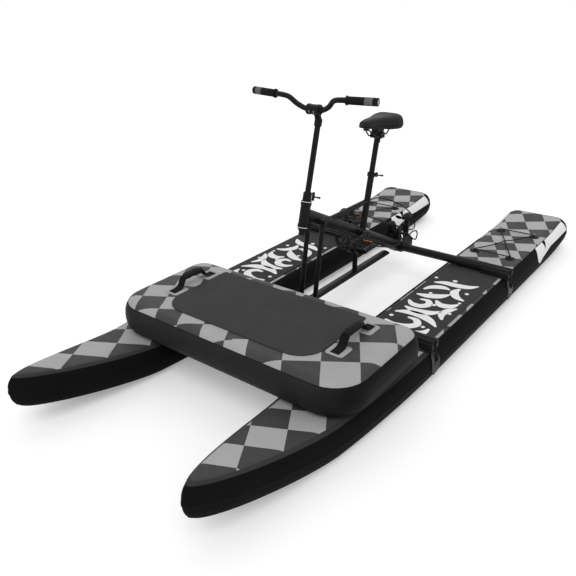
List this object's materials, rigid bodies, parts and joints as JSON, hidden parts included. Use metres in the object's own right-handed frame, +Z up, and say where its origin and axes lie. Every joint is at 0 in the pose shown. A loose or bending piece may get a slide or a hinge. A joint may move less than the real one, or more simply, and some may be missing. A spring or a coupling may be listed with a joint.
{
  "type": "pontoon water bike",
  "caption": "Pedal craft: two inflated pontoons, an upright bicycle-like frame on cross beams, a front cargo platform and a raised steerable propeller drive.",
  "frame": {"origin": "centre of the bounding box, on the ground under the hulls", "axes": "+Z up, +Y towards the sterns, +X to the rider's left"},
  "size_m": [1.3222, 3.1, 1.1198],
  "materials": {
    "hull_fabric": "PVC-coated inflatable fabric, printed",
    "platform_fabric": "PVC-coated inflatable fabric, printed",
    "foam": "textured EVA foam",
    "webbing": "woven webbing",
    "patch": "grey sewn patch and strap",
    "bungee": "elastic cord",
    "frame": "satin black powder coat on aluminium",
    "beam": "satin black anodised aluminium",
    "foot_plastic": "black moulded plastic",
    "black_plastic": "black moulded plastic",
    "silver": "polished",
    "steel": "brushed",
    "chain_steel": "oiled dark steel",
    "grip_rubber": "ribbed",
    "saddle_cover": "padded vinyl",
    "cable": "cable housing",
    "belt": "toothed belt"
  },
  "bodies": {
    "craft": {"pontoon_left": "hull_fabric", "pontoon_right": "hull_fabric", "platform": "platform_fabric", "platform_pad": "foam", "deck_pad_left": "foam", "deck_pad_right": "foam", "handle_left": "webbing", "handle_right": "webbing", "bungee_left": "bungee", "bungee_right": "bungee", "tie_strap_front_left": "patch", "tie_strap_front_right": "patch", "tie_strap_rear_left": "patch", "tie_strap_rear_right": "patch", "main_frame": "frame", "front_leg_left": "frame", "front_leg_right": "frame", "leg_bolt": "steel", "rail_post": "frame", "bottom_rail": "frame", "front_cross_beam": "beam", "rear_cross_beam": "beam", "beam_foot_front_left": "foot_plastic", "beam_foot_front_right": "foot_plastic", "beam_foot_rear_left": "foot_plastic", "beam_foot_rear_right": "foot_plastic", "headset_cup_lower": "silver", "headset_cup_upper": "silver", "seat_collar": "frame", "bb_cup_left": "silver", "bb_cup_right": "silver", "chain": "chain_steel", "drive_bracket": "black_plastic", "drive_belt": "belt", "steering_cable": "cable", "lift_rope": "cable"},
    "steering": {"steerer": "frame", "post_clamp": "frame"},
    "post_lever": {"post_clamp_lever": "silver"},
    "handlebar_unit": {"steering_post": "frame", "stem": "frame", "handlebar": "frame", "grip_left": "grip_rubber", "grip_right": "grip_rubber"},
    "seat_lever": {"seat_collar_lever": "silver"},
    "seat": {"seat_post": "frame", "saddle_rails": "steel", "saddle": "saddle_cover"},
    "crank": {"crank_axle": "steel", "crank_left": "frame", "crank_right": "frame", "chainring": "chain_steel"},
    "pedal_left_unit": {"pedal_left": "black_plastic"},
    "pedal_right_unit": {"pedal_right": "black_plastic"},
    "jackshaft": {"rear_sprocket": "steel"},
    "pivot": {"pivot_shaft": "steel"},
    "leg": {"drive_leg": "black_plastic"},
    "steered_pod": {"lower_unit": "black_plastic"},
    "screw": {"propeller": "black_plastic"}
  },
  "joints": [
    {"name": "steering", "type": "hinge", "parent": "craft", "child": "steering", "pos_m": [0, -0.35, 0.5644], "axis": [0, 0.2622, 0.965], "range_deg": [-40, 40]},
    {"name": "post_clamp_lever", "type": "hinge", "parent": "steering", "child": "post_lever", "pos_m": [0.014, -0.29111, 0.68311], "axis": [0, 0.2622, 0.965], "range_deg": [0, 110]},
    {"name": "post_height", "type": "slide", "parent": "steering", "child": "handlebar_unit", "axis": [0, 0.2622, 0.965], "range_m": [-0.06, 0.06]},
    {"name": "seat_clamp_lever", "type": "hinge", "parent": "craft", "child": "seat_lever", "pos_m": [0.014, 0.24289, 0.65534], "axis": [0, 0.2402, 0.9707], "range_deg": [0, 110]},
    {"name": "seat_height", "type": "slide", "parent": "craft", "child": "seat", "axis": [0, 0.2402, 0.9707], "range_m": [-0.1, 0.06]},
    {"name": "crank_spin", "type": "hinge", "parent": "craft", "child": "crank", "pos_m": [0, 0.086, 0.4021], "axis": [1, 0, 0], "continuous": true},
    {"name": "pedal_left_spin", "type": "hinge", "parent": "crank", "child": "pedal_left_unit", "pos_m": [0, -0.08377, 0.411], "axis": [1, 0, 0], "continuous": true},
    {"name": "pedal_right_spin", "type": "hinge", "parent": "crank", "child": "pedal_right_unit", "pos_m": [0, 0.25577, 0.39321], "axis": [1, 0, 0], "continuous": true},
    {"name": "jackshaft_spin", "type": "hinge", "parent": "craft", "child": "jackshaft", "pos_m": [0, 0.565, 0.2444], "axis": [1, 0, 0], "continuous": true},
    {"name": "pivot_shaft_spin", "type": "hinge", "parent": "craft", "child": "pivot", "pos_m": [0, 0.625, 0.1504], "axis": [1, 0, 0], "continuous": true},
    {"name": "leg_tilt", "type": "hinge", "parent": "craft", "child": "leg", "pos_m": [0, 0.625, 0.1504], "axis": [1, 0, 0], "range_deg": [-180, 0], "deforming": ["lift_rope"]},
    {"name": "pod_steer", "type": "hinge", "parent": "leg", "child": "steered_pod", "pos_m": [0, 0.625, 0.3104], "axis": [0, 0, 1], "range_deg": [-40, 40]},
    {"name": "propeller_spin", "type": "hinge", "parent": "steered_pod", "child": "screw", "pos_m": [0, 0.588, 0.3264], "axis": [0, 1, 0], "continuous": true}
  ],
  "couplings": [
    {"joint": "jackshaft_spin", "follows": "crank_spin", "ratio": 3},
    {"joint": "pivot_shaft_spin", "follows": "crank_spin", "ratio": 3},
    {"joint": "propeller_spin", "follows": "crank_spin", "ratio": 6},
    {"joint": "pod_steer", "follows": "steering", "ratio": 1}
  ]
}
